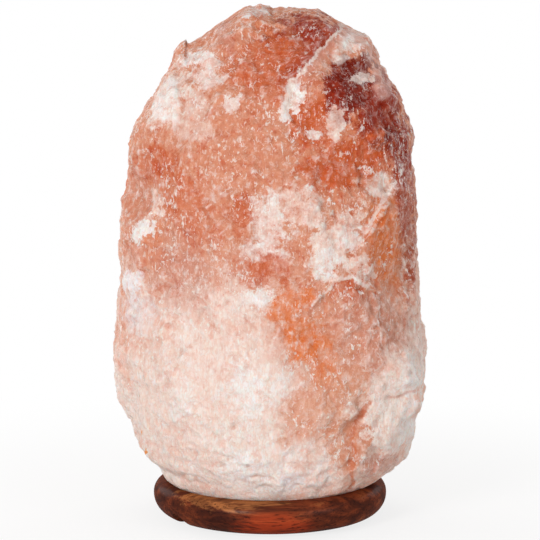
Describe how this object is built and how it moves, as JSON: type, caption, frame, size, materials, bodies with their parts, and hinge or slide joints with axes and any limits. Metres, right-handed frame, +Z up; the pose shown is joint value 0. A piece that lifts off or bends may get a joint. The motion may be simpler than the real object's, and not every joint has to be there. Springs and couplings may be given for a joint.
{
  "type": "salt crystal lamp",
  "caption": "Rough-hewn pink salt block on a round turned wooden base, hollowed from below for a push-in lampholder and small screw-in bulb.",
  "frame": {"origin": "on the table, under the middle of the lamp's bounding box and of its round base", "axes": "+Z up along the bore; -Y is the front face that the picture shows, +X its right"},
  "size_m": [0.141, 0.1242, 0.2295],
  "materials": {
    "rock_salt": "satin",
    "varnished_wood": "gloss",
    "foot_rubber": "matte",
    "zinc_steel": "satin",
    "spring_steel": "satin",
    "grey_nylon": "matte",
    "black_phenolic": "satin",
    "black_nylon": "matte",
    "brass": "satin",
    "solder": "satin",
    "black_glass": "gloss",
    "nickel_cap": "polished",
    "clear_glass": "gloss",
    "tungsten": "satin"
  },
  "bodies": {
    "lamp": {"salt_crystal": "rock_salt", "wooden_base": "varnished_wood", "rubber_foot_1": "foot_rubber", "rubber_foot_2": "foot_rubber", "rubber_foot_3": "foot_rubber", "rubber_foot_4": "foot_rubber", "fixing_screw_1": "zinc_steel", "fixing_screw_2": "zinc_steel", "fixing_screw_3": "zinc_steel", "screw_plug_1": "grey_nylon", "screw_plug_2": "grey_nylon", "screw_plug_3": "grey_nylon"},
    "fitting": {"socket_body": "black_phenolic", "socket_cap": "black_phenolic", "clip_nut": "black_phenolic", "cord_bush": "black_nylon", "spring_clip": "spring_steel", "cap_screw_1": "zinc_steel", "cap_screw_2": "zinc_steel", "line_terminal": "brass", "neutral_terminal": "brass", "line_terminal_screw": "brass", "neutral_terminal_screw": "zinc_steel", "line_rivet": "brass", "neutral_rivet": "brass", "centre_contact": "brass", "screw_shell": "brass"},
    "bulb_tip": {"bulb_tip_contact": "solder", "bulb_insulator": "black_glass"},
    "bulb": {"bulb_cap": "nickel_cap", "bulb_glass": "clear_glass", "bulb_stem": "clear_glass", "bulb_filament": "tungsten", "bulb_lead_wire_1": "tungsten", "bulb_lead_wire_2": "tungsten", "filament_support": "tungsten"}
  },
  "joints": [
    {"name": "fitting_pull", "type": "slide", "parent": "lamp", "child": "fitting", "axis": [0, 0, -1], "range_m": [0, 0.105]},
    {"name": "bulb_feed", "type": "slide", "parent": "fitting", "child": "bulb_tip", "axis": [0, 0, 1], "range_m": [0, 0.00889]},
    {"name": "bulb_turn", "type": "hinge", "parent": "bulb_tip", "child": "bulb", "pos_m": [0, 0, 0.05], "axis": [0, 0, 1], "range_deg": [0, 1260]}
  ],
  "couplings": [
    {"joint": "bulb_feed", "follows": "bulb_turn", "m_per_rad": 0.00040425}
  ]
}
